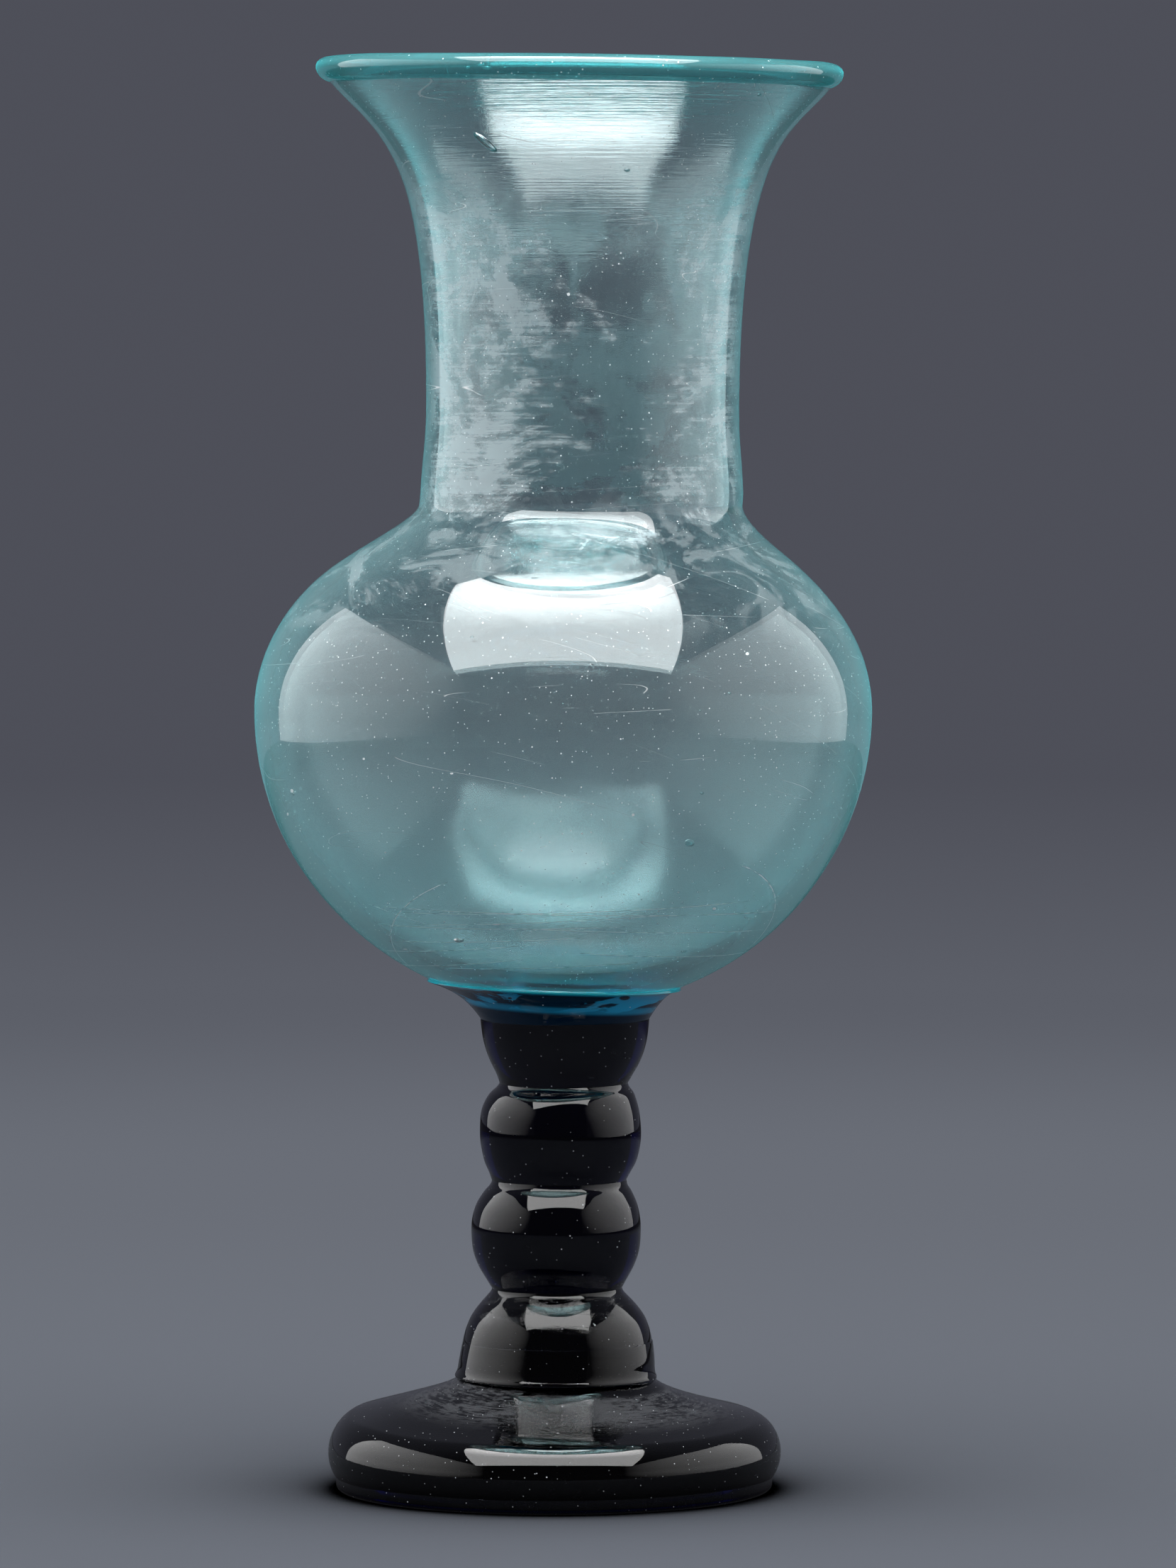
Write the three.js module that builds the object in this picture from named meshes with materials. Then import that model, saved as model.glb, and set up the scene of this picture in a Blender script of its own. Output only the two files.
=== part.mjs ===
// A blown glass vase on a knopped stem, 250 mm tall, made of bits of hot glass fused one on another:
// an aqua bowl with a thread round its lip, a blue seat under it, a stem of four blue knops, a collar,
// a thick foot and the ring that it stands on.
// Millimetres, +Z up. The origin lies on the table under the axis of the belly, and -Y is the front.
import * as THREE from "three";

// Steps round the axis, and along a long and a short stretch of an outline
const turnSteps = 40;
const longSteps = 8;
const shortSteps = 4;

// Ring of glass under the foot, which stands on the table
const ringRadius = 38.25;
const ringHeight = 2.5;
const ringWidth = 8.5;
const ringEdge = 1;

// Foot: a low cone with a fat rounded rim, hollowed a little underneath
const footHeight = 17;
const footRadius = 39.75;
const footRimWidth = 6;
const footRimLevel = 4;
const footRimRise = 6.8;
const footRimEnd = THREE.MathUtils.degToRad(68);
const footSlope = THREE.MathUtils.degToRad(15);
const footSlopeReach = 7.3;
const footTopRadius = 17.25;
const footFillet = 2.2;
const footFilletDrop = 2.3;
const footHollow = 1.5;

// Collar, a short drum between the foot and the stem, with a bead at its foot and a rounded shoulder
const collarHeight = 6.5;
const collarRadius = 17.1;
const collarBead = 0.55;
const collarShoulder = 1.7;
const collarTopRadius = 16.5;

// The stem's four knops, from the lowest to the highest
const domeHeight = 9.25;
const domeRadius = 16.25;
const domeRise = 12.5;
const lowBallHeight = 19;
const lowBallRadius = 14.9;
const highBallHeight = 17;
const highBallRadius = 14.1;
const cupHeight = 11.25;
const cupRadius = 14.9;
const cupRise = 16.5;
const creaseRadius = 11.25;

// Seat, a dish of blue glass that carries the bowl and wraps the bottom of it
const seatFloor = 3.25;
const seatRootRadius = 14.6;
const seatRootRise = 2.1;
const seatRootFlare = 1.4;
const seatRadius = 22.25;
const seatEdge = 0.5;
const seatLipReach = 4;
const seatLipDrop = 1;
const seatShift = -1.9;
const wrapGap = 0.3;

// Bowl: belly, shoulder, neck and flare
const bowlFloorRadius = 12;
const bellyRadius = 54;
const bellyDepth = 50.75;
const bellyRise = 38.25;
const shoulderRadius = 39;
const shoulderBend = 5;
const neckFootRadius = 28.2;
const neckFootRise = 36;
const neckFootBend = 2.25;
const neckRadius = 27.3;
const neckRise = 52.5;
const neckBend = 6;
const flareBend = 49;
const mouthRise = 110.25;
const mouthBend = 12.5;
const mouthAngle = THREE.MathUtils.degToRad(52);
const bottomWall = 4;
const bellyWall = 2.25;
const mouthWall = 2.5;

// Lip, a roll of glass laid on the edge of the flare and flattened where it lies
const lipRadius = 46;
const lipWidth = 6.2;
const lipHeight = 3.2;
const lipFlat = 0.75;
const lipSeam = 0.05;

// Where each bit begins, counted up from the table
const footLevel = ringHeight;
const collarLevel = footLevel + footHeight;
const domeLevel = collarLevel + collarHeight;
const lowBallLevel = domeLevel + domeHeight;
const highBallLevel = lowBallLevel + lowBallHeight;
const cupLevel = highBallLevel + highBallHeight;
const seatLevel = cupLevel + cupHeight;
const bowlLevel = seatLevel + seatFloor;
const bellyLevel = bowlLevel + bellyDepth;
const mouthLevel = bellyLevel + mouthRise;

// It was worked free-hand, so its centre line wanders: [level, how far it stands from the belly's axis]
const footDrift = -1.6;
const collarDrift = -1.1;
const domeDrift = -0.9;
const lowBallDrift = -1.2;
const highBallDrift = -0.5;
const seatDrift = 0.35;
const neckDrift = 3.3;
const flareDrift = 3.5;
const mouthDrift = 2.9;
const shoulderShare = 0.66;
const flareShare = 0.8;
const centreLine = [
  [collarLevel, footDrift],
  [collarLevel + collarHeight / 2, collarDrift],
  [domeLevel + domeHeight / 2, domeDrift],
  [lowBallLevel + lowBallHeight / 2, lowBallDrift],
  [highBallLevel + highBallHeight / 2, highBallDrift],
  [seatLevel, seatDrift],
  [bellyLevel, 0],
  [bellyLevel + bellyRise * shoulderShare, 0],
  [bellyLevel + neckFootRise, neckDrift],
  [bellyLevel + neckRise + flareBend * flareShare, flareDrift],
  [mouthLevel, mouthDrift],
];

// Its mouth isn't quite level either: above the waist of the neck it comes to lean by this slope
const mouthSlope = -0.014;

const aquaGlass = new THREE.MeshStandardMaterial({ color: 0x9fcfd2, roughness: 0.08, metalness: 0 });
const lipGlass = new THREE.MeshStandardMaterial({ color: 0x3f9ea1, roughness: 0.05, metalness: 0 });
const seatGlass = new THREE.MeshStandardMaterial({ color: 0x0a6f9c, roughness: 0.06, metalness: 0 });
const cobaltGlass = new THREE.MeshStandardMaterial({ color: 0x070a1c, roughness: 0.05, metalness: 0 });

// How far the centre line stands from the belly's axis at a level
function driftAt(level) {
  const next = centreLine.findIndex(([end]) => end > level);
  if (next === 0) return centreLine[0][1];
  if (next < 0) return centreLine.at(-1)[1];
  const [start, from] = centreLine[next - 1];
  const [end, to] = centreLine[next];
  return THREE.MathUtils.lerp(from, to, THREE.MathUtils.smoothstep(level, start, end));
}

// How steeply a cut across the vase leans at a level
function slopeAt(level) {
  return mouthSlope * THREE.MathUtils.smoothstep(level, bellyLevel + neckRise, mouthLevel);
}

// The points of an arc of an ellipse about [radius, height], between two angles from the outward direction
function arc([radius, height], reach, rise, from, to, steps) {
  const curve = new THREE.EllipseCurve(radius, height, reach, rise, from, to, to < from);
  return curve.getPoints(steps).map((point) => [point.x, point.y]);
}

// The points of a cubic curve through the ends of four [radius, height] points
function bend(steps, ...points) {
  const curve = new THREE.CubicBezierCurve(...points.map((point) => new THREE.Vector2(...point)));
  return curve.getPoints(steps).map((point) => [point.x, point.y]);
}

// An outline of [radius, height] points turned round the axis into one bit of glass, which stands at a
// level and follows the centre line. move, where it is given, works each point of the round bit first.
function bit(name, outline, level, material, move = () => {}) {
  const points = outline.map((point) => new THREE.Vector2(...point));
  const corners = points.filter((point, i) => i === 0 || !point.equals(points[i - 1]));
  const geometry = new THREE.LatheGeometry(corners, turnSteps).rotateX(Math.PI / 2);
  const place = geometry.getAttribute("position");
  const point = new THREE.Vector3();
  for (let i = 0; i < place.count; i++) {
    point.fromBufferAttribute(place, i);
    move(point);
    const lean = slopeAt(level + point.z) * point.x;
    place.setXYZ(i, point.x + driftAt(level + point.z), point.y, point.z + lean);
  }
  geometry.computeVertexNormals();
  const mesh = new THREE.Mesh(geometry, material);
  mesh.name = name;
  mesh.position.z = level;
  return mesh;
}

// Flat ring with a rounded lower edge
function footRing() {
  const inner = ringRadius - ringWidth;
  const corner = arc([ringRadius - ringEdge, ringEdge], ringEdge, ringEdge, -Math.PI / 2, 0, shortSteps);
  const outline = [[inner, 0], ...corner, [ringRadius, ringHeight], [inner, ringHeight], [inner, 0]];
  return bit("foot_ring", outline, 0, cobaltGlass);
}

// The foot: hollow, flat seat on the ring, fat rim, slope up to the collar
function foot() {
  const hollowRadius = ringRadius - ringWidth;
  const hollow = bend(
    shortSteps,
    [0, footHollow],
    [hollowRadius / 2, footHollow],
    [hollowRadius / 2, 0],
    [hollowRadius, 0],
  );
  const rimStart = -Math.asin(Math.min(footRimLevel / footRimRise, 1));
  const rimCentre = [footRadius - footRimWidth, footRimLevel];
  const rim = arc(rimCentre, footRimWidth, footRimRise, rimStart, footRimEnd, longSteps);
  const [slopeRadius, slopeHeight] = rim.at(-1);
  const slope = bend(
    longSteps,
    [slopeRadius, slopeHeight],
    [slopeRadius - footSlopeReach, slopeHeight + footSlopeReach * Math.tan(footSlope)],
    [footTopRadius + footFillet, footHeight - footFilletDrop],
    [footTopRadius, footHeight],
  );
  return bit("foot", [...hollow, ...rim, ...slope, [0, footHeight]], footLevel, cobaltGlass);
}

// Collar: a half-round bead, a straight side and a rounded shoulder
function footCollar() {
  const beadCentre = [collarRadius, collarBead];
  const bead = arc(beadCentre, collarBead, collarBead, -Math.PI / 2, Math.PI / 2, shortSteps);
  const shoulder = bend(
    shortSteps,
    [collarRadius, collarHeight - collarShoulder],
    [collarRadius, collarHeight - collarShoulder / 2],
    [collarTopRadius + (collarRadius - collarTopRadius) / 2, collarHeight],
    [collarTopRadius, collarHeight],
  );
  const outline = [[0, 0], ...bead, ...shoulder, [0, collarHeight]];
  return bit("foot_collar", outline, collarLevel, cobaltGlass);
}

// Dome: the upper half of a flattened ball, cut off at the crease above it
function domeKnop() {
  const end = Math.asin(Math.min(domeHeight / domeRise, 1));
  const side = arc([0, 0], domeRadius, domeRise, 0, end, longSteps);
  return bit("dome_knop", [[0, 0], ...side, [0, domeHeight]], domeLevel, cobaltGlass);
}

// Ball between two creases, an arc through both that stands out to the ball's radius half way up
function ballKnop(name, level, height, radius) {
  const swell = radius - creaseRadius;
  const round = ((height / 2) ** 2 + swell ** 2) / (2 * swell);
  const end = Math.asin(height / 2 / round);
  const side = arc([radius - round, height / 2], round, round, -end, end, longSteps);
  return bit(name, [[0, 0], ...side, [0, height]], level, cobaltGlass);
}

// Cup: the lower half of a ball, cut off at the crease under it
function cupKnop() {
  const start = -Math.asin(Math.min(cupHeight / cupRise, 1));
  const side = arc([0, cupHeight], cupRadius, cupRise, start, 0, longSteps);
  return bit("cup_knop", [[0, 0], ...side, [0, cupHeight]], cupLevel, cobaltGlass);
}

// Height of the bowl's underside over its flat floor, at a distance from the axis
const undersideRise = bellyDepth / Math.sqrt(1 - (bowlFloorRadius / bellyRadius) ** 2);
const undersideAt = (radius) => bellyDepth - undersideRise * Math.sqrt(1 - (radius / bellyRadius) ** 2);

// The dish under the bowl: its floor carries the bowl's flat bottom, and its inner face follows the bowl
// at a gap. It was laid on off centre, so it is slid sideways along the bowl, and rides up it on that side.
function seat() {
  const insideAt = (radius) => seatFloor + Math.max(undersideAt(radius) - wrapGap, 0);
  const innerRadius = seatRadius - seatEdge;
  const edgeHeight = insideAt(innerRadius);
  const outside = bend(
    longSteps,
    [seatRootRadius, 0],
    [seatRootRadius + seatRootFlare, seatRootRise],
    [seatRadius - seatLipReach, edgeHeight - seatEdge - seatLipDrop],
    [seatRadius, edgeHeight - seatEdge],
  );
  const edge = arc([innerRadius, edgeHeight - seatEdge], seatEdge, seatEdge, 0, Math.PI / 2, shortSteps);
  const inside = [];
  for (let step = 1; step <= longSteps; step++) {
    const radius = THREE.MathUtils.lerp(innerRadius, bowlFloorRadius, step / longSteps);
    inside.push([radius, insideAt(radius)]);
  }
  const slide = (point) => {
    const radius = Math.hypot(point.x, point.y);
    point.x += (seatShift * Math.max(radius - seatRootRadius, 0)) / (seatRadius - seatRootRadius);
    point.z += undersideAt(Math.hypot(point.x, point.y)) - undersideAt(radius);
  };
  const outline = [[0, 0], ...outside, ...edge, ...inside, [0, seatFloor]];
  return bit("bowl_seat", outline, seatLevel, seatGlass, slide);
}

// The bowl's upper outside, from its widest place to the mouth
function bowlSide(mouthRadius) {
  const turn = Math.acos(shoulderRadius / bellyRadius);
  const belly = arc([0, bellyDepth], bellyRadius, bellyRise, 0, turn, longSteps);
  const [radius, height] = belly.at(-1);
  const along = new THREE.Vector2(-bellyRadius * Math.sin(turn), bellyRise * Math.cos(turn));
  along.setLength(shoulderBend);
  const neckFoot = bellyDepth + neckFootRise;
  const waist = bellyDepth + neckRise;
  const mouth = bellyDepth + mouthRise;
  const shoulder = bend(
    shortSteps,
    [radius, height],
    [radius + along.x, height + along.y],
    [neckFootRadius, neckFoot - neckFootBend],
    [neckFootRadius, neckFoot],
  );
  const neck = bend(
    shortSteps,
    [neckFootRadius, neckFoot],
    [neckFootRadius, neckFoot + neckBend],
    [neckRadius, waist - neckBend],
    [neckRadius, waist],
  );
  const flare = bend(
    longSteps,
    [neckRadius, waist],
    [neckRadius, waist + flareBend],
    [mouthRadius - mouthBend * Math.cos(mouthAngle), mouth - mouthBend * Math.sin(mouthAngle)],
    [mouthRadius, mouth],
  );
  return [...belly, ...shoulder.slice(1), ...neck.slice(1), ...flare.slice(1)];
}

// The inside of a side: each point but the ends moved in, square to the side, by a wall that goes from one
// end's thickness to the other's
function insideOf(side, wallStart, wallEnd) {
  return side.slice(1, -1).map(([radius, height], i) => {
    const along = new THREE.Vector2(...side[i + 2]).sub(new THREE.Vector2(...side[i])).normalize();
    const wall = THREE.MathUtils.lerp(wallStart, wallEnd, (i + 1) / (side.length - 1));
    return [radius - along.y * wall, height + along.x * wall];
  });
}

// Radii of the flat edge of the mouth, centred under the lip
const mouthWidth = mouthWall / Math.sin(mouthAngle);
const mouthOuter = lipRadius - lipWidth / 2 + mouthWidth / 2;
const mouthInner = mouthOuter - mouthWidth;

// The bowl: flat floor, lower half of the belly, side, flat edge of the mouth, and the inside back to the
// axis
function bowl() {
  const floorAngle = Math.acos(bowlFloorRadius / bellyRadius);
  const under = arc([0, bellyDepth], bellyRadius, undersideRise, -floorAngle, 0, longSteps);
  const side = bowlSide(mouthOuter);
  const inner = insideOf(side, bellyWall, mouthWall);
  const hollowRise = bellyDepth - bottomWall;
  const hollow = arc([0, bellyDepth], bellyRadius - bellyWall, hollowRise, 0, -Math.PI / 2, longSteps);
  const mouth = [mouthInner, bellyDepth + mouthRise];
  const outline = [[0, 0], ...under, ...side.slice(1), mouth, ...inner.reverse(), ...hollow];
  return bit("bowl", outline, bowlLevel, aquaGlass);
}

// The lip: a round roll whose underside is flat where it lies on the mouth's edge
function lip() {
  const rise = (lipHeight + lipFlat) / 2;
  const centre = [lipRadius - lipWidth / 2, rise - lipFlat + lipSeam];
  const start = -Math.asin((rise - lipFlat) / rise);
  const roll = arc(centre, lipWidth / 2, rise, start, Math.PI - start, longSteps * 2);
  return bit("lip_thread", [...roll, roll[0]], mouthLevel, lipGlass);
}

const vase = new THREE.Group();
vase.add(footRing(), foot(), footCollar(), domeKnop());
vase.add(ballKnop("lower_ball_knop", lowBallLevel, lowBallHeight, lowBallRadius));
vase.add(ballKnop("upper_ball_knop", highBallLevel, highBallHeight, highBallRadius));
vase.add(cupKnop(), seat(), bowl(), lip());

export default vase;
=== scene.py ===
import math
import random

import bpy
from mathutils import Matrix, Vector

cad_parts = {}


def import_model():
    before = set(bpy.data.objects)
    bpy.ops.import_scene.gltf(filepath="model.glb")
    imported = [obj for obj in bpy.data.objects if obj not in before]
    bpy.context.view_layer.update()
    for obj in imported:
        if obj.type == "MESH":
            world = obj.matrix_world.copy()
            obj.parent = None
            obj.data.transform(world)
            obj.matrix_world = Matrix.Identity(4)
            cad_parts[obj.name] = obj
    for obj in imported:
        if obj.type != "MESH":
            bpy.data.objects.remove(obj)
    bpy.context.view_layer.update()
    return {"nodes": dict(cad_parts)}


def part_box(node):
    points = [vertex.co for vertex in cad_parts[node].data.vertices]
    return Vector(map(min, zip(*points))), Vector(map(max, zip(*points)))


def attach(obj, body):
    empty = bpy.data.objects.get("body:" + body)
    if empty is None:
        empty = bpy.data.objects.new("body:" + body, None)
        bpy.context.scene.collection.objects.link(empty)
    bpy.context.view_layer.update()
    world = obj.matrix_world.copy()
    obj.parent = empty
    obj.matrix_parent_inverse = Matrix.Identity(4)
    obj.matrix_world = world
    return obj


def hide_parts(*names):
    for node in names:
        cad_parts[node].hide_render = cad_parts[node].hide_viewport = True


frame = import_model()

bl_info = {
    "name": "Blown glass vase",
    "version": (1, 0, 0),
    "blender": (4, 5, 0),
    "location": "View3D > Sidebar > Vase",
    "description": "Dresses the frame of a blown glass vase as fine, worn and seeded glass",
    "category": "Object",
}

MM = 0.001

# Steps round the axis, and along a long and a short stretch of an outline
TURN_STEPS = 128
LONG_STEPS = 40
SHORT_STEPS = 16

# How deep each bit of glass is fused into the next, so that no film of air shows between them
FUSE = 0.08

# The centre line, worked free-hand, in mm: (level, distance from the belly's axis, slope of a cut across it)
CENTRE_LINE = (
    (0, -1.6, 0),
    (11, -1.6, 0),
    (14, -1.6, -0.007),
    (17.4, -1.5, -0.035),
    (19.5, -1.3, -0.01),
    (22, -1.1, 0),
    (30, -0.9, 0),
    (34, -1.0, 0),
    (37, -1.2, 0),
    (50.5, -1.3, 0),
    (54.2, -0.75, 0),
    (56.5, -0.4, 0),
    (58, -0.45, 0),
    (64, -0.5, 0),
    (69, -0.65, 0),
    (70.4, -0.3, 0),
    (71.4, 0.2, 0),
    (72.4, 0.35, 0),
    (98, 0.25, 0),
    (110, 0, 0),
    (159, 0.05, 0),
    (162.5, 0.4, 0),
    (166.3, 1.25, 0),
    (170, 2.2, 0),
    (172, 3.25, 0),
    (189, 3.4, 0),
    (228, 3.6, -0.007),
    (247, 2.9, -0.014),
    (252, 2.9, -0.014),
)

# The lattice that sets the pieces on the centre line: its layers, and its width and height in mm
CAGE_LAYERS = 101
CAGE_WIDTH = 140
CAGE_HEIGHT = 252

# Levels at which the bits of glass begin, as the frame has them
LEVELS = {name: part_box(name)[0].z / MM for name in frame["nodes"]}


class VaseSizes(bpy.types.PropertyGroup):
    """Sizes that a glassblower would change"""

    belly_radius: bpy.props.FloatProperty(
        name="Belly radius",
        description="Half the width of the belly",
        default=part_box("bowl")[1].x - 0.05 * MM,
        unit="LENGTH",
    )
    neck_radius: bpy.props.FloatProperty(
        name="Neck radius",
        description="Half the width of the neck at its waist",
        default=27.3 * MM,
        unit="LENGTH",
    )
    lip_radius: bpy.props.FloatProperty(
        name="Lip radius",
        description="Half the width of the mouth over its lip",
        default=46 * MM,
        unit="LENGTH",
    )
    belly_wall: bpy.props.FloatProperty(
        name="Belly wall",
        description="Thickness of the glass at the widest place",
        default=2.25 * MM,
        unit="LENGTH",
    )
    seeds: bpy.props.IntProperty(
        name="Seeds",
        description="Number of small bubbles of air in the bowl",
        default=170,
        min=0,
    )


class VaseGlass(bpy.types.PropertyGroup):
    """Colours of the glass, and how much it takes off"""

    aqua: bpy.props.FloatVectorProperty(
        name="Aqua",
        description="What the bowl's glass lets through",
        subtype="COLOR",
        size=4,
        default=(0.16, 0.80, 0.83, 1),
    )
    turquoise: bpy.props.FloatVectorProperty(
        name="Turquoise",
        description="What the seat's glass lets through",
        subtype="COLOR",
        size=4,
        default=(0.02, 0.42, 0.62, 1),
    )
    cobalt: bpy.props.FloatVectorProperty(
        name="Cobalt",
        description="What the glass of the stem and foot lets through",
        subtype="COLOR",
        size=4,
        default=(0.01, 0.42, 0.74, 1),
    )
    haze: bpy.props.FloatVectorProperty(
        name="Haze",
        description="Colour of the mineral film",
        subtype="COLOR",
        size=4,
        default=(0.46, 0.68, 0.76, 1),
    )


class VaseStage(bpy.types.PropertyGroup):
    """Floor, backdrop and lamps"""

    floor: bpy.props.FloatVectorProperty(
        name="Floor",
        description="How the lit floor looks",
        subtype="COLOR",
        size=4,
        default=(0.144, 0.156, 0.185, 1),
    )
    backdrop: bpy.props.FloatVectorProperty(
        name="Backdrop",
        description="How the backdrop looks",
        subtype="COLOR",
        size=4,
        default=(0.076, 0.079, 0.099, 1),
    )
    fill: bpy.props.FloatProperty(
        name="Fill light",
        description="Strength of the even light from all round",
        default=0.3,
        min=0,
    )
    softbox: bpy.props.FloatProperty(
        name="Side softboxes",
        description="How bright a softbox beside the vase looks, where 1 is white",
        default=0.85,
        min=0,
    )
    top_softbox: bpy.props.FloatProperty(
        name="Top softbox",
        description="How bright the softbox over the vase looks, where 1 is white",
        default=3.3,
        min=0,
    )
    room: bpy.props.FloatVectorProperty(
        name="Room",
        description="Colour of the unlit room in front, which only gloss shows",
        subtype="COLOR",
        size=4,
        default=(0.02, 0.02, 0.023, 1),
    )


# Outlines, as (radius, height) points in mm


def arc(centre, reach, rise, start, end, steps):
    """Points of an arc of an ellipse about a centre, between two angles from the outward direction."""
    points = []
    for step in range(steps + 1):
        angle = start + (end - start) * step / steps
        points.append((centre[0] + reach * math.cos(angle), centre[1] + rise * math.sin(angle)))
    return points


def bend(steps, start, pull, push, end):
    """Points of a cubic curve from start to end, drawn by two handles."""
    points = []
    for step in range(steps + 1):
        t = step / steps
        shares = ((1 - t) ** 3, 3 * t * (1 - t) ** 2, 3 * t * t * (1 - t), t**3)
        handles = (start, pull, push, end)
        points.append(tuple(sum(s * h[k] for s, h in zip(shares, handles)) for k in (0, 1)))
    return points


def through(points, steps=4):
    """Points of a smooth curve through the given ones."""
    ends = [points[0], *points, points[-1]]
    curve = [points[0]]
    for before, start, end, after in zip(ends, ends[1:], ends[2:], ends[3:]):
        pull = tuple(start[k] + (end[k] - before[k]) / 6 for k in (0, 1))
        push = tuple(end[k] - (after[k] - start[k]) / 6 for k in (0, 1))
        curve += bend(steps, start, pull, push, end)[1:]
    return curve


def inset(side, wall_at):
    """The points of a side but its ends, moved in square to it by the wall at each one's share of the way."""
    points = []
    for i in range(1, len(side) - 1):
        along = (Vector(side[i + 1]) - Vector(side[i - 1])).normalized()
        wall = wall_at(i / (len(side) - 1))
        points.append((side[i][0] - along.y * wall, side[i][1] + along.x * wall))
    return points


def centre_line(level):
    """Where the centre line is at a level, and how steeply a cut across it leans."""
    below = max((row for row in CENTRE_LINE if row[0] <= level), default=CENTRE_LINE[0])
    above = min((row for row in CENTRE_LINE if row[0] > level), default=CENTRE_LINE[-1])
    if above[0] == below[0]:
        return below[1], below[2]
    share = (level - below[0]) / (above[0] - below[0])
    return tuple(below[k] + (above[k] - below[k]) * share for k in (1, 2))


# Modelling


def turned(name, outline, level, steps=TURN_STEPS):
    """A new piece: one corner is extruded along an outline in edit mode, and spun round the axis."""
    bpy.ops.object.select_all(action="DESELECT")
    bpy.ops.mesh.primitive_plane_add(size=MM, enter_editmode=True)
    bpy.ops.mesh.merge(type="CENTER")
    places = [Vector((radius * MM, 0, (level + height) * MM)) for radius, height in outline]
    bpy.ops.transform.translate(value=places[0])
    for last, place in zip(places, places[1:]):
        if (place - last).length > 1e-7:
            bpy.ops.mesh.extrude_region_move(TRANSFORM_OT_translate={"value": place - last})
    bpy.ops.mesh.select_all(action="SELECT")
    bpy.ops.mesh.spin(steps=steps, angle=math.tau, center=(0, 0, 0), axis=(0, 0, 1))
    bpy.ops.mesh.select_all(action="SELECT")
    bpy.ops.mesh.remove_doubles(threshold=1e-6)
    bpy.ops.mesh.normals_make_consistent(inside=False)
    bpy.ops.object.mode_set(mode="OBJECT")
    piece = bpy.context.object
    piece.name = name
    piece.data.name = name
    return piece


def pick(piece):
    """Selects a piece alone and makes it the active one."""
    bpy.ops.object.select_all(action="DESELECT")
    piece.select_set(True)
    bpy.context.view_layer.objects.active = piece


def apply(piece, kind, **settings):
    """Adds a modifier to a piece, sets it and applies it."""
    pick(piece)
    bpy.ops.object.modifier_add(type=kind)
    modifier = piece.modifiers[-1]
    for key, value in settings.items():
        setattr(modifier, key, value)
    bpy.ops.object.modifier_apply(modifier=modifier.name)


def centre_cage():
    """A lattice round the vase whose layers follow the centre line. Every piece uses the same one."""
    if "centre_cage" in bpy.data.objects:
        return bpy.data.objects["centre_cage"]
    bpy.ops.object.select_all(action="DESELECT")
    bpy.ops.object.add(type="LATTICE", location=(0, 0, CAGE_HEIGHT / 2 * MM))
    cage = bpy.context.object
    cage.name = "centre_cage"
    cage.scale = (CAGE_WIDTH * MM, CAGE_WIDTH * MM, CAGE_HEIGHT * MM)
    lattice = cage.data
    lattice.points_u, lattice.points_v, lattice.points_w = 2, 2, CAGE_LAYERS
    lattice.interpolation_type_u = "KEY_LINEAR"
    lattice.interpolation_type_v = "KEY_LINEAR"
    for point in lattice.points:
        level = (point.co.z + 0.5) * CAGE_HEIGHT
        drift, slope = centre_line(level)
        point.co_deform.x = point.co.x + drift / CAGE_WIDTH
        point.co_deform.z = point.co.z + slope * point.co.x * CAGE_WIDTH / CAGE_HEIGHT
    bpy.context.view_layer.update()
    return cage


def worked(piece, unevenness, size, seed):
    """Gives a turned piece the unevenness of free-hand work, and sets it on the wandering centre line."""
    if unevenness:
        ripple(piece, unevenness, size, seed)
    apply(piece, "LATTICE", object=centre_cage())


def ripple(piece, unevenness, size, seed):
    """Swells and sinks a piece's surface by slow clouds."""
    texture = bpy.data.textures.new(piece.name + "_unevenness", "CLOUDS")
    texture.noise_scale = size * MM
    texture.noise_depth = 0
    texture.noise_basis = "BLENDER_ORIGINAL"
    empty = bpy.data.objects.new(piece.name + "_place", None)
    empty.location = (seed, seed / 2, 0)
    bpy.context.scene.collection.objects.link(empty)
    bpy.context.view_layer.update()
    apply(
        piece,
        "DISPLACE",
        texture=texture,
        texture_coords="OBJECT",
        texture_coords_object=empty,
        strength=unevenness * MM,
        mid_level=0.5,
    )
    bpy.data.objects.remove(empty)


def finished(piece, nodes, material, angle=40):
    """Shades a piece smooth but for its sharp edges, gives it its glass and puts it in its nodes' place."""
    pick(piece)
    bpy.ops.object.shade_smooth_by_angle(angle=math.radians(angle))
    piece.data.materials.clear()
    piece.data.materials.append(material)
    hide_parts(*nodes)
    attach(piece, "root")


def bubble():
    """A bubble of air to copy: a small ball that faces inwards, as the glass round it does."""
    bpy.ops.object.select_all(action="DESELECT")
    bpy.ops.mesh.primitive_ico_sphere_add(subdivisions=2, radius=0.5, enter_editmode=True)
    bpy.ops.mesh.select_all(action="SELECT")
    bpy.ops.mesh.flip_normals()
    bpy.ops.object.mode_set(mode="OBJECT")
    return bpy.context.object


def add_bubbles(piece, places):
    """Puts bubbles of air in a piece. A place is a centre, three lengths and a matrix of their directions."""
    master = bubble()
    copies = []
    for centre, lengths, turn in places:
        copy = master.copy()
        copy.data = master.data.copy()
        copy.data.transform(Matrix.Translation(centre) @ turn.to_4x4() @ Matrix.Diagonal((*lengths, 1)))
        bpy.context.scene.collection.objects.link(copy)
        copies.append(copy)
    bpy.data.objects.remove(master)
    pick(piece)
    for copy in copies:
        copy.select_set(True)
    bpy.ops.object.join()


# Materials


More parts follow.
